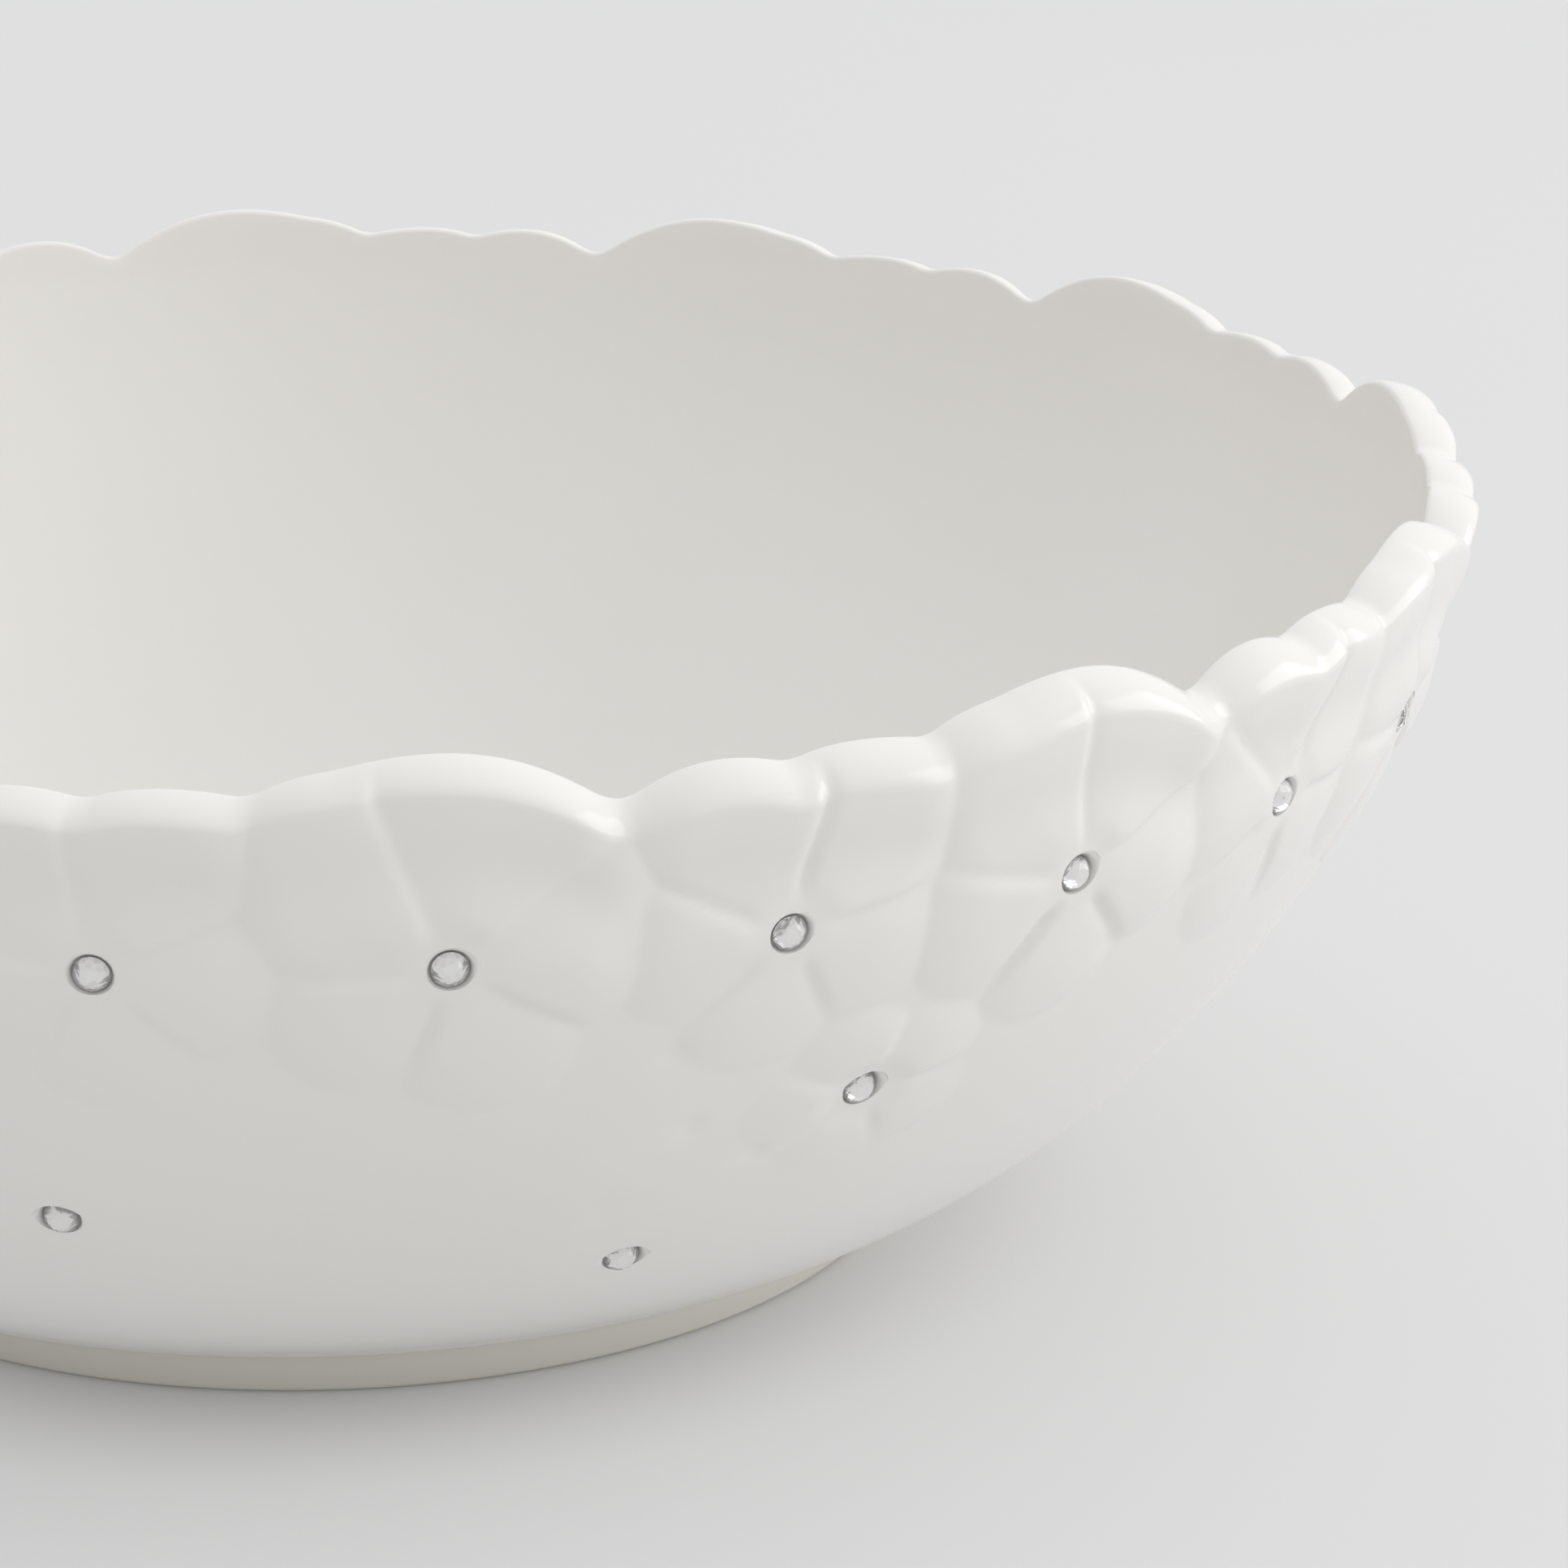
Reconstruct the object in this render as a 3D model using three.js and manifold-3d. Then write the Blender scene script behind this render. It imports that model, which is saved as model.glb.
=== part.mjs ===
// Decorative ceramic bowl: a glazed casting whose wall carries a band of overlapping five-petal
// flowers. Their upper petals make the scalloped rim, and a flat-back glass crystal is glued in a
// round seat at the middle of each flower. A few more crystals are scattered lower on the wall.
// Millimetres, +Z up, origin at the middle of the foot, on the table.

import * as THREE from 'three';
import { mergeVertices } from 'three/addons/utils/BufferGeometryUtils.js';
import Module from 'manifold-3d';

// Wall and foot
const RIM_RADIUS = 114.6; // outer wall at the rim, under the petals
const WALL_TOP = 75.3; // height where the outer wall has become upright
const FOOT_RADIUS = 58.9; // outer edge of the flat foot
const FOOT_HEIGHT = 4.8; // short steep band of the foot, under the wall
const FOOT_FLARE = 2; // how far that band widens
const FOOT_SLOPE = 18; // degrees the wall rises from level, above the foot
const FOOT_PULL = 30; // how far the wall keeps that slope
const RIM_PULL = 22.5; // how far the wall stays upright below its top
const FOOT_WIDTH = 7; // flat ring that stands on the table
const FOOT_RECESS = 3; // hollow under the base, inside that ring
const RECESS_RUN = 2.5; // slope of the hollow's side, measured flat
const WALL_AT_FOOT = 5; // wall thickness at the foot
const WALL_AT_RIM = 3.4; // wall thickness at the rim
const FLOOR_HEIGHT = 8; // floor inside, above the table
const FLOOR_BLEND = 4; // softness of the turn from floor to wall

// Rim
const NOTCH_HEIGHT = 74.3; // deep notch, after each tall flower
const SHOULDER_HEIGHT = 75.8; // shallow notch, before each tall flower
const TALL_LOBE_HEIGHT = 79.3; // lobe over a tall flower
const TALL_LOBE_REACH = 14.5; // half its width
const TALL_LOBE_ASIDE = -1; // its middle, to the side of the flower's middle
const SIDE_LOBE_HEIGHT = 78.2; // lower lobe beside it
const SIDE_LOBE_REACH = 8.5;
const SIDE_LOBE_ASIDE = -8;
const LOW_LOBE_HEIGHT = 76.8; // two lobes over a low flower
const LOW_LOBE_REACH = 8;
const LOW_LOBE_ASIDE = 6; // to both sides
const LIP_DROP = 4.2; // how far down the outside of the lip is rounded
const LIP_ROUND = 1.2; // small round on the inside of the lip

// Flower band: tall and low flowers take turns, and meet in valleys below the notches of the rim
const FLOWER_PAIRS = 12;
const PETALS = 5;
const FLOWER_HEIGHT = 61; // middle of each flower
const FIRST_FLOWER = -94.9; // degrees from +X, a low flower
const TALL_REACH = 8.8; // from the middle of the flower to the middle of a petal
const TALL_PETAL = 8.4; // radius of a petal
const TALL_RISE = 1.7; // how far the petals stand out of the wall
const LOW_REACH = 8.2;
const LOW_PETAL = 7.6;
const LOW_RISE = 1.45;
const TURNS = [-4, -20, 9, -6, 22, -14]; // degrees, flower by flower, from a crease that points straight up
const EDGE_WIDTH = 7; // soft edge of a petal
const RIM_RUN = 4; // how much farther the petals that point up reach, so that they run into the lip
const CREASE_WIDTH = 7; // half-width of the valley between two petals
const CREASE_SHARE = 0.55; // part of the rise that the valley takes away

// Crystals
const CRYSTAL_RADIUS = 1.6;
const CRYSTAL_BACK = 1.45; // radius of the flat back
const CRYSTAL_TABLE = 1; // radius of the flat top
const GIRDLE_HEIGHT = 0.4; // from the back to the widest line
const CROWN_HEIGHT = 0.9; // from the widest line to the top
const SEAT_DEPTH = 1.5; // seat floor below the wall
const SEAT_CLEARANCE = 0.35; // round the crystal and under its back, filled with glue
const SEAT_LEVEL = 0.6; // how far the seats turn from square to the wall towards level

// Scattered crystals of one quarter: degrees from +X, height
const QUARTERS = 4;
const SCATTER_HIGH = 41.4;
const SCATTER_MIDDLE = 32.2;
const SCATTER_LOW = 23.3;
const SCATTER = [
  { azimuth: -58.3, height: SCATTER_HIGH },
  { azimuth: -68.3, height: SCATTER_LOW },
  { azimuth: -99.3, height: SCATTER_MIDDLE },
];

// Fineness of the mesh. A flower is a web round its middle: spokes run along its creases and petals,
// and rings follow the petals' outline, out to the edge of the flower's cell of the band.
const BAND_BOTTOM = 42; // height where the flower cells end
const SPOKES_PER_PETAL = 4;
const CELL_SIDE_STEPS = 6;
const CELL_END_STEPS = 4;
const RING_LIMITS = [0.4, 0.65, 0.82, 0.93]; // farthest each ring may go towards the cell's edge
const LOWER_ROWS = 5;
const LIP_STEPS = 3;
const INNER_ROWS = 6;
const FLOOR_ROWS = 2;
const SEAT_SIDES = 10;
const CRYSTAL_SIDES = 12;

const wasm = await Module();
wasm.setup();
const { Manifold, Mesh } = wasm;

const radians = THREE.MathUtils.degToRad;
const lerp = THREE.MathUtils.lerp;
const smoothstep = THREE.MathUtils.smoothstep;
const FULL_TURN = 2 * Math.PI;

// Larger of two values, with a round turn between them
function softMax(a, b, softness) {
  return (a + b + Math.hypot(a - b, softness)) / 2;
}

// Largest value between 0 and a limit that still passes a test
function lastPassing(limit, passes) {
  let low = 0;
  let high = limit;
  while (high - low > 1e-6 * limit) {
    const middle = (low + high) / 2;
    if (passes(middle)) low = middle;
    else high = middle;
  }
  return low;
}

function wrapAngle(angle) {
  return angle - FULL_TURN * Math.round(angle / FULL_TURN);
}

// A point at a radius, an azimuth and a height
function polar(radius, azimuth, height) {
  return new THREE.Vector3(radius * Math.cos(azimuth), radius * Math.sin(azimuth), height);
}

// Outer wall, drawn as radius and height, from the foot to the rim
const footPoint = new THREE.Vector2(FOOT_RADIUS + FOOT_FLARE, FOOT_HEIGHT);
const footPull = polar(FOOT_PULL, radians(FOOT_SLOPE), 0);
const wallCurve = new THREE.CubicBezierCurve(
  footPoint,
  new THREE.Vector2(footPull.x, footPull.y).add(footPoint),
  new THREE.Vector2(RIM_RADIUS, WALL_TOP - RIM_PULL),
  new THREE.Vector2(RIM_RADIUS, WALL_TOP),
);
const wallLength = wallCurve.getLength();

// Point and outward normal of the wall at a distance along it. Past its top it goes straight up.
function wallAt(along) {
  const share = THREE.MathUtils.clamp(along / wallLength, 0, 1);
  const point = wallCurve.getPointAt(share);
  const tangent = wallCurve.getTangentAt(share);
  point.y += Math.max(0, along - wallLength);
  return { point, normal: new THREE.Vector2(tangent.y, -tangent.x) };
}

// Distance along the wall at a height
function alongAt(height) {
  if (height >= WALL_TOP) return wallLength + height - WALL_TOP;
  return lastPassing(wallLength, (along) => wallAt(along).point.y < height);
}

// Flowers of the band. Each has a cell of the band, as wide as its neighbour's.
const flowerAlong = alongAt(FLOWER_HEIGHT);
const flowerRadius = wallAt(flowerAlong).point.x;
const halfCell = Math.PI / (2 * FLOWER_PAIRS);
const lowShape = {
  reach: LOW_REACH,
  petal: LOW_PETAL,
  rise: LOW_RISE,
  lobes: [-LOW_LOBE_ASIDE, LOW_LOBE_ASIDE].map((aside) =>
    ({ aside, height: LOW_LOBE_HEIGHT, width: LOW_LOBE_REACH })),
};
const tallShape = {
  reach: TALL_REACH,
  petal: TALL_PETAL,
  rise: TALL_RISE,
  lobes: [
    { aside: TALL_LOBE_ASIDE, height: TALL_LOBE_HEIGHT, width: TALL_LOBE_REACH },
    { aside: SIDE_LOBE_ASIDE, height: SIDE_LOBE_HEIGHT, width: SIDE_LOBE_REACH },
  ],
};
const flowers = Array.from({ length: 2 * FLOWER_PAIRS }, (_, i) => ({
  azimuth: radians(FIRST_FLOWER) + i * 2 * halfCell,
  turn: radians(TURNS[i % TURNS.length]),
  ...(i % 2 ? tallShape : lowShape),
}));

const petalStep = FULL_TURN / PETALS;

// Angle from the middle of the petal that a direction falls in, and that petal's outline there,
// cut off where the neighbour's cell begins
function petalOutline(flower, direction) {
  const turn = direction - flower.turn;
  const offset = turn - petalStep * (Math.floor(turn / petalStep) + 0.5);
  const side = flower.reach * Math.sin(offset);
  const round = flower.reach * Math.cos(offset) + Math.sqrt(Math.max(0, flower.petal ** 2 - side ** 2));
  const run = RIM_RUN * Math.max(0, Math.cos(direction));
  const room = (flowerRadius * halfCell) / Math.abs(Math.sin(direction));
  return { offset, outline: Math.min(round + run, room) };
}

// How far one flower stands out of the wall, at a distance across and up from its middle
function petalRise(flower, across, up) {
  const distance = Math.hypot(across, up);
  const { offset, outline } = petalOutline(flower, Math.atan2(across, up));
  const edge = 1 - smoothstep(distance, outline - EDGE_WIDTH, outline);
  const fromCrease = distance * Math.sin(petalStep / 2 - Math.abs(offset));
  const valley = Math.max(0, 1 - fromCrease / CREASE_WIDTH) ** 2;
  return flower.rise * edge * (1 - CREASE_SHARE * valley);
}

// Relief of the wall: the flower that stands out most
function relief(azimuth, along) {
  const rises = flowers.map((flower) => {
    const across = flowerRadius * wrapAngle(azimuth - flower.azimuth);
    return petalRise(flower, across, along - flowerAlong);
  });
  return Math.max(...rises);
}

function outerPoint(azimuth, along) {
  const { point, normal } = wallAt(along);
  point.addScaledVector(normal, relief(azimuth, along));
  return polar(point.x, azimuth, point.y);
}

// Height of the rim: lobes that rise from notches, which take turns deep and shallow
function rimHeight(azimuth) {
  const fromShoulder = FLOWER_PAIRS * (azimuth - flowers[0].azimuth) - Math.PI / 2;
  const notch = lerp(NOTCH_HEIGHT, SHOULDER_HEIGHT, (1 + Math.cos(fromShoulder)) / 2);
  const lobes = flowers.flatMap((flower) => {
    const across = flowerRadius * wrapAngle(azimuth - flower.azimuth);
    return flower.lobes.map(({ aside, height, width }) => {
      const share = Math.max(0, 1 - ((across - aside) / width) ** 2);
      return lerp(notch, height, share);
    });
  });
  return Math.max(...lobes);
}

// Distance along the wall where the lip starts to turn in
function lipAlong(azimuth) {
  return alongAt(rimHeight(azimuth) - LIP_DROP);
}

// Skin of facets between rings of points
class Skin {
  points = [];

  // Facets from a middle point to a ring that runs clockwise when seen from outside
  fan(middle, ring) {
    ring.forEach((point, i) => this.points.push(middle, ring[(i + 1) % ring.length], point));
  }

  // Facets between two rings with as many points, or one with twice as many as the other
  bridge(lower, upper) {
    const count = Math.max(lower.length, upper.length);
    const low = (i) => lower[(lower.length < count ? Math.floor(i / 2) : i) % lower.length];
    const high = (i) => upper[(upper.length < count ? Math.floor((i + 1) / 2) : i) % upper.length];
    for (let i = 0; i < count; i++) {
      if (low(i) !== low(i + 1)) this.points.push(low(i), low(i + 1), high(i + 1));
      if (high(i) !== high(i + 1)) this.points.push(low(i), high(i + 1), high(i));
    }
  }

  stack(rings) {
    rings.slice(1).forEach((ring, i) => this.bridge(rings[i], ring));
  }

  geometry() {
    return mergeVertices(new THREE.BufferGeometry().setFromPoints(this.points));
  }
}

// Ring round the axis, with stations on the seams between the flowers
function ring(stationsPerFlower, pointAt) {
  const start = flowers[0].azimuth - halfCell;
  return Array.from({ length: flowers.length * stationsPerFlower }, (_, i) =>
    pointAt(start + (i * 2 * halfCell) / stationsPerFlower));
}

function roundRing(stationsPerFlower, radius, height) {
  return ring(stationsPerFlower, (azimuth) => polar(radius, azimuth, height));
}

// Edge of a flower's cell as azimuth and distance along the wall, clockwise from the middle of its top
function cellEdge(flower) {
  const bottom = alongAt(BAND_BOTTOM);
  const side = (sign) => {
    const azimuth = flower.azimuth + sign * halfCell;
    const top = lipAlong(azimuth);
    const places = [];
    for (let i = 1; i < CELL_SIDE_STEPS; i++) {
      places.push([azimuth, lerp(top, bottom, i / CELL_SIDE_STEPS)]);
    }
    return places;
  };
  const end = (along) => {
    const places = [];
    for (let i = 0; i <= CELL_END_STEPS; i++) {
      const azimuth = flower.azimuth + lerp(-1, 1, i / CELL_END_STEPS) * halfCell;
      places.push([azimuth, along(azimuth)]);
    }
    return places;
  };
  const top = end(lipAlong);
  const middle = CELL_END_STEPS / 2;
  return [
    ...top.slice(middle),
    ...side(1),
    ...end(() => bottom).reverse(),
    ...side(-1).reverse(),
    ...top.slice(0, middle),
  ];
}

// Web of one flower, from its middle out to the edge of its cell
function addFlower(skin, flower) {
  const edge = cellEdge(flower);
  const bottom = alongAt(BAND_BOTTOM) - flowerAlong;
  const inCell = (across, up) => {
    const azimuth = flower.azimuth + across / flowerRadius;
    const aside = Math.abs(across) / flowerRadius;
    return aside < halfCell && up > bottom && up < lipAlong(azimuth) - flowerAlong;
  };
  const spokes = PETALS * SPOKES_PER_PETAL;
  const spokeStep = FULL_TURN / spokes;
  const upright = Math.round(-flower.turn / spokeStep); // the spoke that points up
  const rings = RING_LIMITS.map(() => []);
  for (let i = 0; i < spokes; i++) {
    const direction = flower.turn + (upright + i) * spokeStep;
    const { outline } = petalOutline(flower, direction);
    const space = lastPassing(
      2 * outline,
      (distance) => inCell(distance * Math.sin(direction), distance * Math.cos(direction)),
    );
    const wanted = [outline / 4, outline - EDGE_WIDTH, outline - EDGE_WIDTH / 2, outline];
    wanted.forEach((distance, row) => {
      const kept = Math.min(distance, space * RING_LIMITS[row]);
      const azimuth = flower.azimuth + (kept * Math.sin(direction)) / flowerRadius;
      rings[row].push(outerPoint(azimuth, flowerAlong + kept * Math.cos(direction)));
    });
  }
  rings.push(edge.map(([azimuth, along]) => outerPoint(azimuth, along)));
  skin.fan(outerPoint(flower.azimuth, flowerAlong), rings[0]);
  skin.stack(rings);
}

// Inside of the wall at a distance along its outside
function innerProfile(along) {
  const { point, normal } = wallAt(along);
  point.addScaledVector(normal, -lerp(WALL_AT_FOOT, WALL_AT_RIM, along / wallLength));
  point.y = softMax(point.y, FLOOR_HEIGHT, FLOOR_BLEND);
  return point;
}

// Bowl without its seats
function makeBowl() {
  const skin = new Skin();
  const fine = 2 * CELL_END_STEPS;
  const plain = CELL_END_STEPS;
  const coarse = CELL_END_STEPS / 2;

  // Hollow under the base, flat foot and plain lower wall
  const recess = FOOT_RADIUS - FOOT_WIDTH;
  const outside = [
    roundRing(coarse, recess - RECESS_RUN, FOOT_RECESS),
    roundRing(coarse, recess, 0),
    roundRing(coarse, FOOT_RADIUS, 0),
  ];
  for (let row = 0; row <= LOWER_ROWS; row++) {
    const along = alongAt(BAND_BOTTOM) * (row / LOWER_ROWS);
    outside.push(ring(plain, (azimuth) => outerPoint(azimuth, along)));
  }
  skin.fan(new THREE.Vector3(0, 0, FOOT_RECESS), outside[0]);
  skin.stack(outside);

  flowers.forEach((flower) => addFlower(skin, flower));

  // Lip: a long round outside, a small one inside
  const innerRim = RIM_RADIUS - WALL_AT_RIM;
  const ridge = innerRim + LIP_ROUND;
  const inside = [ring(plain, (azimuth) => outerPoint(azimuth, lipAlong(azimuth)))];
  for (let step = 1; step <= LIP_STEPS; step++) {
    const angle = (step / LIP_STEPS) * (Math.PI / 2);
    inside.push(ring(fine, (azimuth) => {
      const start = outerPoint(azimuth, lipAlong(azimuth));
      const radius = lerp(ridge, Math.hypot(start.x, start.y), Math.cos(angle));
      return polar(radius, azimuth, lerp(start.z, rimHeight(azimuth), Math.sin(angle)));
    }));
  }
  inside.push(ring(fine, (azimuth) => polar(innerRim, azimuth, rimHeight(azimuth) - LIP_ROUND)));

  // Smooth inside, down to the middle of the floor
  const innerTop = alongAt(NOTCH_HEIGHT - LIP_DROP - LIP_ROUND);
  for (let row = INNER_ROWS; row >= 0; row--) {
    const inner = innerProfile((innerTop * row) / INNER_ROWS);
    inside.push(roundRing(row > INNER_ROWS / 2 ? plain : coarse, inner.x, inner.y));
  }
  const floorEdge = innerProfile(0).x;
  const slope = radians(FOOT_SLOPE);
  const floorHeight = (radius) => {
    const wallBelow = WALL_AT_FOOT * Math.cos(slope) - (floorEdge - radius) * Math.tan(slope);
    return softMax(FOOT_HEIGHT + wallBelow, FLOOR_HEIGHT, FLOOR_BLEND);
  };
  for (let row = FLOOR_ROWS; row > 0; row--) {
    const radius = (floorEdge * row) / (FLOOR_ROWS + 1);
    inside.push(roundRing(coarse, radius, floorHeight(radius)));
  }
  skin.stack(inside);
  skin.fan(new THREE.Vector3(0, 0, floorHeight(0)), inside.at(-1).reverse());
  return skin.geometry();
}

// Crystal with its flat back at the origin and its table up
function makeCrystal() {
  const circle = (sides, radius, height) =>
    Array.from({ length: sides }, (_, i) => polar(radius, (i * FULL_TURN) / sides, height));
  const top = GIRDLE_HEIGHT + CROWN_HEIGHT;
  const rings = [
    circle(CRYSTAL_SIDES, CRYSTAL_BACK, 0),
    circle(CRYSTAL_SIDES, CRYSTAL_RADIUS, GIRDLE_HEIGHT),
    circle(CRYSTAL_SIDES / 2, CRYSTAL_TABLE, top),
  ];
  const skin = new Skin();
  skin.fan(new THREE.Vector3(), rings[0]);
  skin.stack(rings);
  skin.fan(new THREE.Vector3(0, 0, top), rings[2].reverse());
  return skin.geometry();
}

// Places of the crystals: the middle of each flower, and the scattered ones quarter by quarter
const rimPlaces = flowers.map(({ azimuth }) => ({ azimuth, along: flowerAlong }));
const wallPlaces = [];
for (let quarter = 0; quarter < QUARTERS; quarter++) {
  for (const { azimuth, height } of SCATTER) {
    wallPlaces.push({
      azimuth: radians(azimuth) + (quarter * FULL_TURN) / QUARTERS,
      along: alongAt(height),
    });
  }
}

// Frame of a seat: on the wall's relief, facing out between the wall's normal and level, lifted above
// the seat's floor
function seatMatrix({ azimuth, along }, lift) {
  const { normal } = wallAt(along);
  const tilt = wrapAngle(normal.angle());
  const out = (1 - SEAT_LEVEL) * tilt;
  const outward = polar(Math.cos(out), azimuth, Math.sin(out));
  const position = outerPoint(azimuth, along).addScaledVector(outward, lift - SEAT_DEPTH);
  const turn = new THREE.Quaternion().setFromUnitVectors(new THREE.Vector3(0, 0, 1), outward);
  return new THREE.Matrix4().compose(position, turn, new THREE.Vector3(1, 1, 1));
}

// Solids for joining and cutting
function toSolid(geometry) {
  const bare = geometry.clone();
  bare.deleteAttribute('normal');
  bare.deleteAttribute('uv');
  const merged = mergeVertices(bare);
  return new Manifold(new Mesh({
    numProp: 3,
    vertProperties: new Float32Array(merged.attributes.position.array),
    triVerts: new Uint32Array(merged.index.array),
  }));
}

function toGeometry(solid) {
  const { vertProperties, triVerts } = solid.getMesh();
  const geometry = new THREE.BufferGeometry();
  geometry.setAttribute('position', new THREE.BufferAttribute(vertProperties, 3));
  geometry.setIndex(new THREE.BufferAttribute(triVerts, 1));
  geometry.computeVertexNormals();
  return geometry;
}

// Cutter for one seat: from the seat's floor to well clear of the wall
function seatCutter(place) {
  const depth = SEAT_DEPTH + TALL_RISE;
  const radius = CRYSTAL_RADIUS + SEAT_CLEARANCE;
  const cutter = new THREE.CylinderGeometry(radius, radius, depth, SEAT_SIDES);
  cutter.rotateX(Math.PI / 2).translate(0, 0, depth / 2);
  return toSolid(cutter.applyMatrix4(seatMatrix(place, 0)));
}

// Assembly
const bowl = new THREE.Group();
const glaze = new THREE.MeshStandardMaterial({ color: 0xe6e3dd, roughness: 0.22, metalness: 0 });
const crystalGlass = new THREE.MeshStandardMaterial({ color: 0xeef0f2, roughness: 0.04, metalness: 0 });

let bodySolid = toSolid(makeBowl());
for (const place of [...rimPlaces, ...wallPlaces]) {
  bodySolid = bodySolid.subtract(seatCutter(place));
}
const body = new THREE.Mesh(toGeometry(bodySolid), glaze);
body.name = 'bowl_body';
bowl.add(body);

function addCrystals(prefix, places) {
  places.forEach((place, i) => {
    const crystal = new THREE.Mesh(makeCrystal(), crystalGlass.clone());
    crystal.name = `${prefix}_${String(i + 1).padStart(2, '0')}`;
    crystal.applyMatrix4(seatMatrix(place, SEAT_CLEARANCE));
    bowl.add(crystal);
  });
}
addCrystals('rim_crystal', rimPlaces);
addCrystals('wall_crystal', wallPlaces);

export default bowl;
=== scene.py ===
"""Looks of the decorative bowl: a fine glazed body with its band of flowers, and cut crystals.

The bowl's sizes are millimetres and its angles degrees. The room's sizes are metres, as in Blender.
"""

import math
from collections import namedtuple

import bmesh
import bpy
import numpy as np
from mathutils import Matrix, Vector


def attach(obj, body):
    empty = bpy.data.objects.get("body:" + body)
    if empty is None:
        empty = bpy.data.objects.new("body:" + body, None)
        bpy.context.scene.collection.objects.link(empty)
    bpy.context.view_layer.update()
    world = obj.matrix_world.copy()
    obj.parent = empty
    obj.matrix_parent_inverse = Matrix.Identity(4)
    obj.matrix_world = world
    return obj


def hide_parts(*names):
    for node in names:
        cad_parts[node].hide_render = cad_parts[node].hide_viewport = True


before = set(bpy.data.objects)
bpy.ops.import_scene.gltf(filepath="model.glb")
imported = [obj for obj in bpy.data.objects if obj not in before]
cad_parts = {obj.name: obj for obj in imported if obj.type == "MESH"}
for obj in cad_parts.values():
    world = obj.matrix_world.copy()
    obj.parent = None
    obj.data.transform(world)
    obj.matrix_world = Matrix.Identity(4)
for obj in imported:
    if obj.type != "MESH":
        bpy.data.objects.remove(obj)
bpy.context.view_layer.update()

MM = 0.001

# Wall and foot, as in the solid
RIM_RADIUS = 114.6
WALL_TOP = 75.3
FOOT_RADIUS = 58.9
FOOT_HEIGHT = 4.8
FOOT_FLARE = 2
FOOT_SLOPE = 18
FOOT_PULL = 30
RIM_PULL = 22.5
FOOT_WIDTH = 7
FOOT_RECESS = 3
RECESS_RUN = 2.5
WALL_AT_FOOT = 5
WALL_AT_RIM = 3.4
FLOOR_HEIGHT = 8
FLOOR_BLEND = 4

# Small rounds of the foot
FOOT_ROUND = 0.7  # where the foot meets the table
FOOT_EDGE = 1.4  # where the foot meets the wall

# Rim
NOTCH_HEIGHT = 74.3
SHOULDER_HEIGHT = 75.8
TALL_LOBES = ((-1, 79.3, 14.5), (-8, 78.2, 8.5))  # side of the flower's middle, height, half-width
LOW_LOBES = ((-6, 76.8, 8), (6, 76.8, 8))
RIM_SMOOTHING = 1.5
LIP_DROP = 2.6  # height of the bevel outside the rim
LIP_SPREAD = 0.7  # the bevel is higher on the middle flowers of each quarter
LIP_ROUND = 0.5  # inside the rim
LIP_FULLNESS = 1.8  # 1 is a flat bevel, 2 a round

# Flower band
FLOWER_PAIRS = 12
PETALS = 5
FLOWER_HEIGHT = 61
FIRST_FLOWER = -94.9
QUARTERS = 4
# Flowers of each quarter, low and tall in turn: turn, and depths of the creases clockwise from the top one
QUARTER_FLOWERS = (
    (-4, (0.4, 0.3, 0.4, 0.4, 0.3)),
    (-20, (0.5, 0.4, 0.6, 0.7, 0.4)),
    (9, (1.2, 0.5, 0.6, 0.5, 0.8)),
    (-6, (0.8, 0.5, 0.9, 1.2, 0.6)),
    (22, (1.1, 0.6, 0.7, 0.7, 0.6)),
    (-14, (0.7, 0.6, 0.7, 0.7, 0.6)),
)
TALL_REACH = 8.8  # from the middle of the flower to that of a petal
TALL_PETAL = 8.8  # radius of a petal
TALL_RISE = 1.5
TALL_CENTRE = 0.77  # relief at the middle, where the crystal sits
LOW_REACH = 8.2
LOW_PETAL = 7.8
LOW_RISE = 1.2
LOW_CENTRE = 0.65
CENTRE_FLAT = 2.2  # radius of the flat round the crystal
CENTRE_REACH = 5.5
LOWER_PETAL_SHARE = 0.5  # rise of a petal that points down
EDGE_WIDTH = 5  # over which a petal falls to the wall
LOWER_EDGE_WIDTH = 9
RIM_RUN = 6  # how far the upper petals run on to the rim
VALLEY_WIDTH = 7
VALLEY_SHARE = 0.28
CREASE_WIDTH = 0.75
CREASE_DEPTH = 0.5
CREASE_START = 3
PETAL_TILT = 0.2  # each petal lies over the next
CURL = 0.5  # petals turn out at the lip, over a hollow below it
CURL_RUN = 6
HOLLOW = 0.9
HOLLOW_DROP = 7
HOLLOW_REACH = 4
UNION_POWER = 8  # how sharply flowers that overlap meet

# Crystals and their seats
CRYSTAL_RADIUS = 1.6
CRYSTAL_BACK = 1.4
CRYSTAL_TABLE = 0.8
CRYSTAL_STAR = 1.3
GIRDLE_HEIGHT = 0.4
STAR_HEIGHT = 0.8
TABLE_HEIGHT = 1.2
GIRDLE_SIDES = 16
TABLE_SIDES = 8
FLAT_ANGLE = 1  # facets that lean less than this from one another are one
CRYSTAL_LIFT = 0.08  # of its back over that of the solid
CRYSTAL_TURN = 0.7  # radians from one crystal to the next
SEAT_PROFILE = (  # radius, height
    (1.75, -0.3), (1.75, 0.35), (1.98, 0.85), (2.15, 1.05), (2.45, 1.2), (2.45, 3),
)
SEAT_SIDES = 48
DIMPLE_RADIUS = 3.0
DIMPLE_DEPTH = 0.2

# Crystals of each quarter below the band: degrees from +X, height
SCATTER = ((-58.3, 41.4), (-68.3, 23.3), (-99.3, 32.2))

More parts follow.
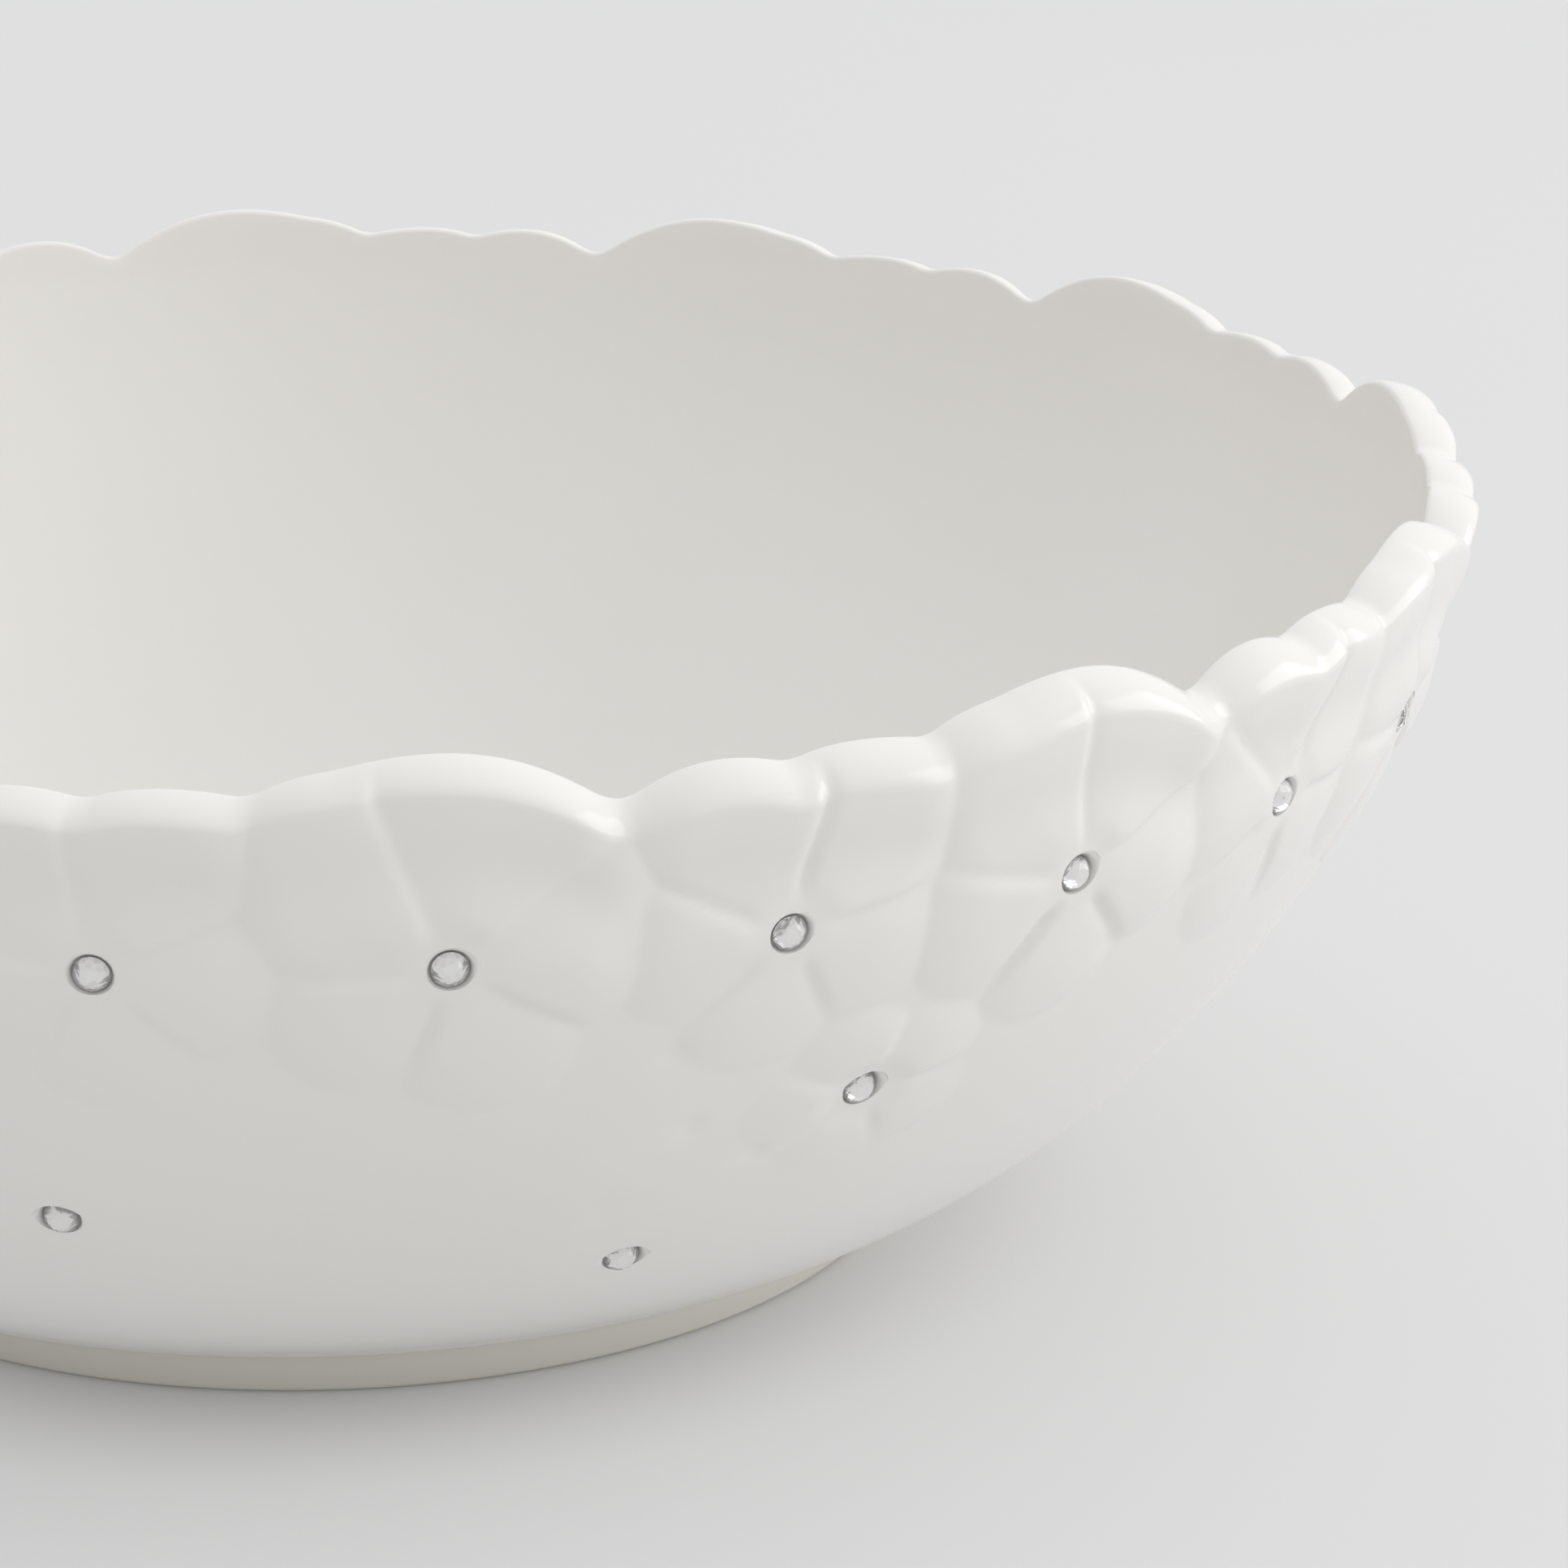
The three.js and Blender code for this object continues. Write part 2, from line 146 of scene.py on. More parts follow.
# Small flower round the first of those crystals
SMALL_REACH = 6.2
SMALL_PETAL = 6.0
SMALL_TURN = 10
SMALL_RISE = 0.7
SMALL_CREASES = (0.3, 0.4, 0.6, 0.3, 0.3)

# Shallow marks of the modelling tool in each quarter: degrees from +X, height
MARKS = ((-69.4, 49.6), (-67.7, 40.8), (-63.5, 36.3), (-71.0, 31.4), (-45.9, 51.9))
MARK_RADIUS = 1.4
MARK_DEPTH = 0.22

# Fineness of the body, as points of a ring and as rows
COARSE = 60
FINE = 32 * COARSE  # on the flower band and the lip
PLAIN = FINE // 2
UNDERSIDE_RINGS = ((COARSE, 8), (2 * COARSE, 16), (4 * COARSE, 30))  # points, radius
BAND_BOTTOM = 34
LOWER_ROWS = 26
BAND_ROWS = 96
LIP_ROWS = 9
EDGE_ROWS = 4
INNER_TOP_ROWS = 6
INNER_ROWS = 30
INNER_SPACING = 1.6  # points inside that are closer than this are thinned out
ROUND_POINTS = 6
WALL_SAMPLES = 2001
INNER_SAMPLES = 400
SHARP_ANGLE = 50

# Materials, with noise scales per metre
NOISE_DETAIL = 2.0
NOISE_SPAN = (0.3, 0.7)  # part of the noise's range that counts
GLAZE_TONES = ((0.850, 0.836, 0.806), (0.838, 0.823, 0.792))
GLAZE_CLOUDS = 28
GLAZE_ROUGHNESS = (0.14, 0.19)
GLAZE_PATCHES = 60
GLAZE_IOR = 1.5
RIPPLE_SCALE = 70
RIPPLE_STRENGTH = 0.15
RIPPLE_HEIGHT = 0.1
BARE_CLAY = (0.76, 0.735, 0.67)
BARE_TOP = 3.8
GLAZE_BOTTOM = 6.0
GLASS_TINT = (1.0, 0.995, 0.985)
GLASS_TRANSMISSION = 0.75
GLASS_IOR = 1.62
GLASS_ROUGHNESS = (0.0, 0.03)
GLASS_GRAIN = 900
FOIL_TINT = (0.985, 0.985, 0.98)
FOIL_ROUGHNESS = (0.08, 0.15)
FOIL_GRAIN = 1500
PAPER_TONES = ((0.770, 0.770, 0.773), (0.762, 0.762, 0.766))
PAPER_CLOUDS = 3
PAPER_ROUGHNESS = 0.9
PAPER_SPECULAR = 0.1

# Floor, light and camera
FLOOR_REACH = 4.0
FLOOR_DROP = 0.00005  # keeps the floor clear of the foot
FLOOR_GLOW = 0.95
FLOOR_LIFT = 0.44  # share of the floor's light that is painted glow, away from the bowl; it also lights the lower wall as painted bounce light
GLOW_START = 0.055  # radius where that painted glow starts, beside the foot; nearer the foot the floor keeps a painted contact shadow
GLOW_FULL = 0.080
ROOM_LEVEL = 0.745
ROOM_SLOPE = (0.16, 0.14, 0.28)  # brighter to the right, at the back and above
KEY_POWER = 3.5
KEY_PLACE = (1.1, 0.10, 0.42)
KEY_TARGET = (0, 0.03, 0.05)
KEY_SIZE = (1.0, 0.7)
CAMERA_PLACE = (0.0470, -0.5173, 0.2062)
CAMERA_TILT = 72.36
FOCAL_LENGTH = 121.1  # millimetres, as is the sensor
SENSOR_WIDTH = 36


def lerp(a, b, share):
    return a + (b - a) * share


def soft_max(a, b, softness):
    """Larger of two values, with a round turn between them."""
    return (a + b + np.hypot(a - b, softness)) / 2


def wrap_angle(angle):
    return angle - 2 * math.pi * np.round(angle / (2 * math.pi))


FOOT_RISE = np.array([math.cos(math.radians(FOOT_SLOPE)), math.sin(math.radians(FOOT_SLOPE))])


def wall_samples():
    """Outer wall from the foot up: arc length, (radius, height), and outward normal."""
    start = np.array([FOOT_RADIUS + FOOT_FLARE, FOOT_HEIGHT])
    lower = start + FOOT_PULL * FOOT_RISE
    upper = np.array([RIM_RADIUS, WALL_TOP - RIM_PULL])
    end = np.array([RIM_RADIUS, WALL_TOP])
    t = np.linspace(0, 1, WALL_SAMPLES)[:, None]
    s = 1 - t
    points = s**3 * start + 3 * s**2 * t * lower + 3 * s * t**2 * upper + t**3 * end
    points = np.vstack([points, end + [0, LIP_DROP]])
    lengths = np.hypot(*np.diff(points, axis=0).T)
    along = np.concatenate([[0], np.cumsum(lengths)])
    tangents = np.gradient(points, along, axis=0)
    tangents /= np.linalg.norm(tangents, axis=1)[:, None]
    return along, points, np.column_stack([tangents[:, 1], -tangents[:, 0]])


WALL_ALONG, WALL_POINTS, WALL_NORMALS = wall_samples()


def along_at(height):
    return np.interp(height, WALL_POINTS[:, 1], WALL_ALONG)


def wall_at(along, lift=0.0):
    """Radius and height of the wall, lifted along its normal."""
    values = []
    for axis in (0, 1):
        point = np.interp(along, WALL_ALONG, WALL_POINTS[:, axis])
        normal = np.interp(along, WALL_ALONG, WALL_NORMALS[:, axis])
        values.append(point + lift * normal)
    return values


Flower = namedtuple("Flower", "azimuth along turn creases reach petal rise centre run lobes")
FLOWER_ALONG = along_at(FLOWER_HEIGHT)
FLOWER_RADIUS = wall_at(FLOWER_ALONG)[0]
PETAL_STEP = 2 * math.pi / PETALS


def quarter_spots(places):
    """Places of one quarter, repeated round the bowl: azimuth and distance along the wall."""
    return [
        (math.radians(azimuth) + quarter * 2 * math.pi / QUARTERS, along_at(height))
        for azimuth, height in places
        for quarter in range(QUARTERS)
    ]


def make_flowers():
    """The band's flowers, low and tall in turn."""
    flowers = []
    for i in range(2 * FLOWER_PAIRS):
        tall = i % 2 == 1
        turn, creases = QUARTER_FLOWERS[i % len(QUARTER_FLOWERS)]
        flowers.append(Flower(
            azimuth=math.radians(FIRST_FLOWER) + i * math.pi / FLOWER_PAIRS,
            along=FLOWER_ALONG,
            turn=math.radians(turn),
            creases=creases,
            reach=TALL_REACH if tall else LOW_REACH,
            petal=TALL_PETAL if tall else LOW_PETAL,
            rise=TALL_RISE if tall else LOW_RISE,
            centre=TALL_CENTRE if tall else LOW_CENTRE,
            run=RIM_RUN,
            lobes=TALL_LOBES if tall else LOW_LOBES,
        ))
    return flowers


def make_small_flowers():
    return [
        Flower(
            azimuth=azimuth,
            along=along,
            turn=math.radians(SMALL_TURN),
            creases=SMALL_CREASES,
            reach=SMALL_REACH,
            petal=SMALL_PETAL,
            rise=SMALL_RISE,
            centre=0,
            run=0,
            lobes=(),
        )
        for azimuth, along in quarter_spots(SCATTER[:1])
    ]


BAND_FLOWERS = make_flowers()
SMALL_FLOWERS = make_small_flowers()
CRYSTAL_SPOTS = [(flower.azimuth, flower.along) for flower in BAND_FLOWERS] + quarter_spots(SCATTER)
PITS = [(*spot, DIMPLE_RADIUS, DIMPLE_DEPTH) for spot in CRYSTAL_SPOTS]
PITS += [(*spot, MARK_RADIUS, MARK_DEPTH) for spot in quarter_spots(MARKS)]


def flower_relief(flower, across, up):
    """How far a flower's petals stand out of the wall: pillows that meet in creases."""
    distance = np.hypot(across, up)
    direction = np.arctan2(across, up)
    turn = (direction - flower.turn) / PETAL_STEP
    share = turn - np.floor(turn)  # place across the petal, clockwise
    offset = (share - 0.5) * PETAL_STEP
    lean = np.cos(direction)
    side = flower.reach * np.sin(offset)
    outline = flower.reach * np.cos(offset) + np.sqrt(np.clip(flower.petal**2 - side**2, 0, None))
    outline += flower.run * np.clip(lean, 0, None)
    edge_width = lerp(LOWER_EDGE_WIDTH, EDGE_WIDTH, (1 + lean) / 2)
    edge = 1 - np.clip(1 - (outline - distance) / edge_width, 0, 1) ** 2
    from_crease = distance * np.sin(PETAL_STEP / 2 - np.abs(offset))
    valley = np.clip(1 - from_crease / VALLEY_WIDTH, 0, 1) ** 2
    crease = np.exp(-((from_crease / CREASE_WIDTH) ** 2))
    depth = np.array(flower.creases)[np.round(turn).astype(int) % PETALS]
    start = np.clip(distance / CREASE_START, 0, 1)
    tilt = PETAL_TILT * (2 * share - 1) * (1 - crease) * start
    rise = flower.rise * lerp(LOWER_PETAL_SHARE, 1, (1 + lean) / 2)
    height = rise * edge * (1 - VALLEY_SHARE * valley + tilt)
    height = np.clip(height - CREASE_DEPTH * depth * crease * start * edge, 0, None)
    flat = np.clip((CENTRE_REACH - distance) / (CENTRE_REACH - CENTRE_FLAT), 0, 1)
    return lerp(height, flower.centre, flat**2 * (3 - 2 * flat))


def relief(azimuth, along, lip):
    """Relief of the wall at azimuths and distances along it, below a lip at another distance."""
    power = np.zeros_like(along)
    for flower in BAND_FLOWERS + SMALL_FLOWERS:
        across = wall_at(flower.along)[0] * wrap_angle(azimuth - flower.azimuth)
        near = np.abs(across) < flower.reach + flower.petal
        power[near] += flower_relief(flower, across[near], along[near] - flower.along) ** UNION_POWER
    height = power ** (1 / UNION_POWER)
    below = lip - along
    height += CURL * np.clip(1 - below / CURL_RUN, 0, 1) ** 2
    height -= HOLLOW * np.exp(-(((below - HOLLOW_DROP) / HOLLOW_REACH) ** 2))
    for pit_azimuth, pit_along, radius, depth in PITS:
        across = wall_at(pit_along)[0] * wrap_angle(azimuth - pit_azimuth)
        height -= depth * np.exp(-(across**2 + (along - pit_along) ** 2) / radius**2)
    return height


def rim_height(azimuth):
    """Height of the rim: lobes that rise from notches, which take turns deep and shallow."""
    from_shoulder = FLOWER_PAIRS * (azimuth - BAND_FLOWERS[0].azimuth) - math.pi / 2
    notch = lerp(NOTCH_HEIGHT, SHOULDER_HEIGHT, (1 + np.cos(from_shoulder)) / 2)
    height = notch
    for flower in BAND_FLOWERS:
        across = FLOWER_RADIUS * wrap_angle(azimuth - flower.azimuth)
        for aside, top, width in flower.lobes:
            share = np.clip(1 - ((across - aside) / width) ** 2, 0, 1)
            height = np.maximum(height, lerp(notch, top, share))
    reach = int(RIM_SMOOTHING * len(azimuth) / (2 * math.pi * RIM_RADIUS))
    return np.mean([np.roll(height, shift) for shift in range(-reach, reach + 1)], axis=0)


def lip_drop(azimuth):
    """Height of the bevel outside the rim."""
    return LIP_DROP - LIP_SPREAD * np.cos(QUARTERS * (azimuth - BAND_FLOWERS[0].azimuth))


def polar(radius, azimuth, height):
    radius, azimuth, height = np.broadcast_arrays(radius, azimuth, height)
    return np.column_stack([radius * np.cos(azimuth), radius * np.sin(azimuth), height])


def stations(count):
    """Azimuths of a ring's points."""
    start = BAND_FLOWERS[0].azimuth - math.pi / (2 * FLOWER_PAIRS)
    return start + np.arange(count) * 2 * math.pi / count


class Skin:
    """Closed skin of rings about the axis, each with as many points as the last, half or twice."""

    def __init__(self, centre):
        self.points = [np.array([centre])]
        self.faces = []
        self.count = 1
        self.ring = [0]

    def add(self, points):
        ring = list(range(self.count, self.count + len(points)))
        self.points.append(points)
        self.count += len(points)
        self.bridge(self.ring, ring)
        self.ring = ring

    def close(self, centre):
        self.points.append(np.array([centre]))
        self.bridge(self.ring, [self.count])

    def bridge(self, low, high):
        """Faces between two rings: quads, or triangles where points are left out."""
        count = max(len(low), len(high))
        for i in range(count):
            j = (i + 1) % count
            a, b = (low[k * len(low) // count] for k in (i, j))
            d, c = (high[((k * len(high) + count - 1) // count) % len(high)] for k in (i, j))
            corners = [a, b, c, d]
            self.faces.append([v for n, v in enumerate(corners) if v != corners[n - 1]])

    def mesh(self, name):
        mesh = bpy.data.meshes.new(name)
        mesh.from_pydata((np.vstack(self.points) * MM).tolist(), [], self.faces)
        mesh.update()
        return mesh


def round_corner(corner, before, after, size):
    """Points of a small round at a corner, from the direction before it to the one after it."""
    t = np.linspace(0, 1, ROUND_POINTS)[:, None]
    start = corner - size * before
    end = corner + size * after
    return (1 - t) ** 2 * start + 2 * t * (1 - t) * corner + t**2 * end


def add_foot(skin):
    """Underside, the ring to stand on and the outside of the foot."""
    recess = FOOT_RADIUS - FOOT_WIDTH
    for count, radius, height in (
        *((count, radius, FOOT_RECESS) for count, radius in UNDERSIDE_RINGS),
        (PLAIN // 2, recess - RECESS_RUN, FOOT_RECESS),
        (PLAIN // 2, recess - FOOT_ROUND, FOOT_RECESS * FOOT_ROUND / RECESS_RUN),
        (PLAIN, recess + FOOT_ROUND, 0),
    ):
        skin.add(polar(radius, stations(count), height))
    foot = np.array([FOOT_RADIUS, 0.0])
    flare = np.array([FOOT_FLARE, FOOT_HEIGHT])
    steep = flare / np.linalg.norm(flare)
    level = np.array([1.0, 0.0])
    for radius, height in (
        *round_corner(foot, level, steep, FOOT_ROUND),
        *round_corner(foot + flare, steep, FOOT_RISE, FOOT_EDGE),
    ):
        skin.add(polar(radius, stations(PLAIN), height))


def add_wall(skin, lip):
    """Outside of the wall up to the lip. Gives the radius and height of its last ring."""
    fine, plain = stations(FINE), stations(PLAIN)
    band = along_at(BAND_BOTTOM)
    for along in np.linspace(FOOT_EDGE, band, LOWER_ROWS)[1:]:
        rows = np.full_like(plain, along)
        radius, height = wall_at(rows, relief(plain, rows, lip[::2]))
        skin.add(polar(radius, plain, height))
    for share in np.linspace(0, 1, BAND_ROWS)[1:]:
        rows = lerp(band, lip, share)
        radius, height = wall_at(rows, relief(fine, rows, lip))
        skin.add(polar(radius, fine, height))
    return radius, height


def add_lip(skin, outer_radius, outer_height, rim):
    """Lip: a broad bevel outside, a small round inside."""
    fine = stations(FINE)
    ridge = RIM_RADIUS - WALL_AT_RIM + LIP_ROUND
    for step in range(1, LIP_ROWS + 1):
        angle = step / LIP_ROWS * math.pi / 2
        out = max(0, math.cos(angle)) ** (2 / LIP_FULLNESS)
        rise = math.sin(angle) ** (2 / LIP_FULLNESS)
        skin.add(polar(lerp(ridge, outer_radius, out), fine, lerp(outer_height, rim, rise)))
    for step in range(1, EDGE_ROWS + 1):
        angle = step / EDGE_ROWS * math.pi / 2
        radius = ridge - LIP_ROUND * math.sin(angle)
        height = rim - LIP_ROUND * (1 - math.cos(angle))
        skin.add(polar(radius, fine, height))


def inner_profile():
    """Inside of the wall from its top down to the middle of the floor, as radius and height."""
    along = np.linspace(along_at(WALL_TOP), 0, INNER_SAMPLES)
    share = along / WALL_ALONG[-1]
    radius, height = wall_at(along, -lerp(WALL_AT_FOOT, WALL_AT_RIM, share))
    edge = radius[-1]
    floor = np.linspace(edge, 0, INNER_SAMPLES)[1:]
    slope = FOOT_RISE[1] / FOOT_RISE[0]
    height = np.concatenate([height, height[-1] - slope * (edge - floor)])
    return np.concatenate([radius, floor]), soft_max(height, FLOOR_HEIGHT, FLOOR_BLEND)


def add_inside(skin, rim):
    """Smooth inside, from the lip to the middle of the floor."""
    fine = stations(FINE)
    radii, heights = inner_profile()
    inner_rim = RIM_RADIUS - WALL_AT_RIM
    top = NOTCH_HEIGHT - LIP_DROP - LIP_ROUND
    for row in range(1, INNER_TOP_ROWS + 1):
        share = row / INNER_TOP_ROWS
        step = 1 if row < INNER_TOP_ROWS else 2
        height = lerp(rim[::step] - LIP_ROUND, top, share)
        radius = np.interp(height, heights[::-1], radii[::-1])
        skin.add(polar(lerp(np.minimum(radius, inner_rim), radius, share), fine[::step], height))
    steps = np.hypot(np.diff(radii), np.diff(heights))
    lengths = np.concatenate([[0], np.cumsum(steps)])
    first = np.interp(-top, -heights, lengths)
    for row in range(1, INNER_ROWS):
        length = lerp(first, lengths[-1], row / INNER_ROWS)
        radius = np.interp(length, lengths, radii)
        height = np.interp(length, lengths, heights)
        count = PLAIN
        while count > COARSE and count * INNER_SPACING > 2 * math.pi * radius:
            count //= 2
        skin.add(polar(radius, stations(max(count, len(skin.ring) // 2)), height))
    skin.close((0, 0, heights[-1]))


def make_body_mesh():
    """Body as rings: from the middle of the underside, over the rim, to the middle of the floor."""
    rim = rim_height(stations(FINE))
    lip = along_at(rim - lip_drop(stations(FINE)))
    skin = Skin((0, 0, FOOT_RECESS))
    add_foot(skin)
    outer_radius, outer_height = add_wall(skin, lip)
    add_lip(skin, outer_radius, outer_height, rim)
    add_inside(skin, rim)
    return skin.mesh("bowl_body_glazed")


def crystal_frame(node):
    """Matrix at the back of a crystal of the solid model, with Z out of the wall."""
    points = np.array([v.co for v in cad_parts[node].data.vertices])
    centre = points.mean(0)
    axis = np.linalg.svd(points - centre, full_matrices=False)[2][2]
    if axis @ centre < 0:
        axis = -axis
    back = centre + axis * ((points - centre) @ axis).min()
    out = Vector(axis)
    side = Vector((0, 0, 1)).cross(out).normalized()
    turn = Matrix((side, out.cross(side), out)).transposed().to_4x4()
    return Matrix.Translation(back) @ turn


def circle(count, radius, height, turn=0.0):
    """Points of a level circle in metres, turned by a share of a step."""
    angles = [(i + turn) * 2 * math.pi / count for i in range(count)]
    return [(radius * math.cos(a) * MM, radius * math.sin(a) * MM, height * MM) for a in angles]


def make_seat_cutters(places):
    """One mesh of all the seats: a round pocket with a countersunk mouth."""
    cutters = bmesh.new()
    for place in places:
        rings = []
        for radius, height in SEAT_PROFILE:
            points = circle(SEAT_SIDES, radius, height)
            rings.append([cutters.verts.new(place @ Vector(p)) for p in points])
        cutters.faces.new(rings[0][::-1])
        cutters.faces.new(rings[-1])
        for low, high in zip(rings, rings[1:]):
            for i in range(SEAT_SIDES):
                j = (i + 1) % SEAT_SIDES
                cutters.faces.new((low[i], low[j], high[j], high[i]))
    mesh = bpy.data.meshes.new("seat_cutters")
    cutters.to_mesh(mesh)
    cutters.free()
    return mesh


def add_object(name, data):
    thing = bpy.data.objects.new(name, data)
    bpy.context.scene.collection.objects.link(thing)
    return thing


def make_body(places, material):
    """Glazed body, with a seat cut at each crystal."""
    body = add_object("bowl_body_glazed", make_body_mesh())
    cutters = add_object("seat_cutters", make_seat_cutters(places))
    cut = body.modifiers.new("seats", "BOOLEAN")
    cut.operation = "DIFFERENCE"
    cut.solver = "MANIFOLD"
    cut.object = cutters
    depsgraph = bpy.context.evaluated_depsgraph_get()
    mesh = bpy.data.meshes.new_from_object(body.evaluated_get(depsgraph))
    body.modifiers.clear()
    body.data = mesh
    bpy.data.objects.remove(cutters)
    mesh.materials.clear()
    mesh.materials.append(material)
    for face in mesh.polygons:
        face.use_smooth = True
    mesh.set_sharp_from_angle(angle=math.radians(SHARP_ANGLE))
    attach(body, "root")
    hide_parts("bowl_body")


def make_crystal_mesh(glass, foil):
    """Flat-back stone: an eight-sided table, kite facets round it and small facets down to the girdle."""
    cut = bmesh.new()
    for points in (
        circle(GIRDLE_SIDES, CRYSTAL_BACK, 0),
        circle(GIRDLE_SIDES, CRYSTAL_RADIUS, GIRDLE_HEIGHT),
        circle(TABLE_SIDES, CRYSTAL_STAR, STAR_HEIGHT, 0.5),
        circle(TABLE_SIDES, CRYSTAL_TABLE, TABLE_HEIGHT),
    ):
        for point in points:
            cut.verts.new(point)
    bmesh.ops.convex_hull(cut, input=cut.verts)
    bmesh.ops.dissolve_limit(cut, angle_limit=math.radians(FLAT_ANGLE), verts=cut.verts, edges=cut.edges)
    bmesh.ops.recalc_face_normals(cut, faces=cut.faces)
    for face in cut.faces:
        face.material_index = 1 if face.normal.z < 0 else 0  # foil on the back and under the girdle
    mesh = bpy.data.meshes.new("crystal_cut")
    cut.to_mesh(mesh)
    cut.free()
    mesh.materials.append(glass)
    mesh.materials.append(foil)
    return mesh


def make_crystals(nodes, places, glass, foil):
    mesh = make_crystal_mesh(glass, foil)
    lift = Matrix.Translation((0, 0, CRYSTAL_LIFT * MM))
    for i, (node, place) in enumerate(zip(nodes, places)):
        crystal = add_object(f"{node}_cut", mesh)
        crystal.matrix_world = place @ lift @ Matrix.Rotation(i * CRYSTAL_TURN, 4, "Z")
        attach(crystal, "root")
        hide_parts(node)


class ShaderTree:
    """Shader nodes of a material or of the world."""

    def __init__(self, owner):
        owner.use_nodes = True
        self.nodes = owner.node_tree.nodes
        self.links = owner.node_tree.links
        self.coordinates = self.add("TexCoord", {}).outputs

    def put(self, socket, value):
        """Give a socket a number, a colour, a vector or the output of another node."""
        if isinstance(value, bpy.types.NodeSocket):
            self.links.new(value, socket)
        elif socket.type == "RGBA":
            socket.default_value = (*value, 1)
        else:
            socket.default_value = value

    def add(self, kind, inputs, **settings):
        """New node with its settings, and with some of its inputs by name or number."""
        node = self.nodes.new(f"ShaderNode{kind}")
        for name, value in settings.items():
            setattr(node, name, value)
        for name, value in inputs.items():
            self.put(node.inputs[name], value)
        return node

    def noise(self, scale, detail=NOISE_DETAIL):
        inputs = {"Vector": self.coordinates["Object"], "Scale": scale, "Detail": detail}
        return self.add("TexNoise", inputs).outputs["Fac"]

    def map_range(self, value, low, high, to_low, to_high):
        inputs = {"Value": value, "From Min": low, "From Max": high, "To Min": to_low, "To Max": to_high}
        return self.add("MapRange", inputs).outputs["Result"]

    def uneven(self, scale, low=0, high=1):
        """Value that changes softly over the object."""
        return self.map_range(self.noise(scale), *NOISE_SPAN, low, high)

    def mix(self, share, a, b):
        """Colour between two others."""
        node = self.add("Mix", {"Factor": share}, data_type="RGBA")
        for name, colour in (("A", a), ("B", b)):
            self.put(next(s for s in node.inputs if s.name == name and s.type == "RGBA"), colour)
        return next(s for s in node.outputs if s.type == "RGBA")


def new_material(name):
    """Material, its nodes and its Principled shader."""
    material = bpy.data.materials.new(name)
    tree = ShaderTree(material)
    return material, tree, tree.nodes["Principled BSDF"]


def glaze_material():
    """Warm white glaze, which leaves the foot bare."""
    material, tree, shader = new_material("warm_white_glaze")
    tone = tree.mix(tree.uneven(GLAZE_CLOUDS), *GLAZE_TONES)
    place = tree.add("SeparateXYZ", {"Vector": tree.coordinates["Object"]}).outputs
    bare = tree.map_range(place["Z"], BARE_TOP * MM, GLAZE_BOTTOM * MM, 1, 0)
    bump = tree.add("Bump", {
        "Strength": RIPPLE_STRENGTH,
        "Distance": RIPPLE_HEIGHT * MM,
        "Height": tree.noise(RIPPLE_SCALE, detail=0),
    })
    tree.put(shader.inputs["Base Color"], tree.mix(bare, tone, BARE_CLAY))
    tree.put(shader.inputs["Roughness"], tree.uneven(GLAZE_PATCHES, *GLAZE_ROUGHNESS))
    tree.put(shader.inputs["Normal"], bump.outputs["Normal"])
    tree.put(shader.inputs["IOR"], GLAZE_IOR)
    return material


def crystal_material():
    material, tree, shader = new_material("crystal_glass")
    tree.put(shader.inputs["Base Color"], GLASS_TINT)
    tree.put(shader.inputs["Transmission Weight"], GLASS_TRANSMISSION)
    tree.put(shader.inputs["IOR"], GLASS_IOR)
    tree.put(shader.inputs["Roughness"], tree.uneven(GLASS_GRAIN, *GLASS_ROUGHNESS))
    return material


def foil_material():
    """Bright film on the back of a crystal."""
    material, tree, shader = new_material("crystal_foil")
    tree.put(shader.inputs["Base Color"], FOIL_TINT)
    tree.put(shader.inputs["Metallic"], 1)
    tree.put(shader.inputs["Roughness"], tree.uneven(FOIL_GRAIN, *FOIL_ROUGHNESS))
    return material


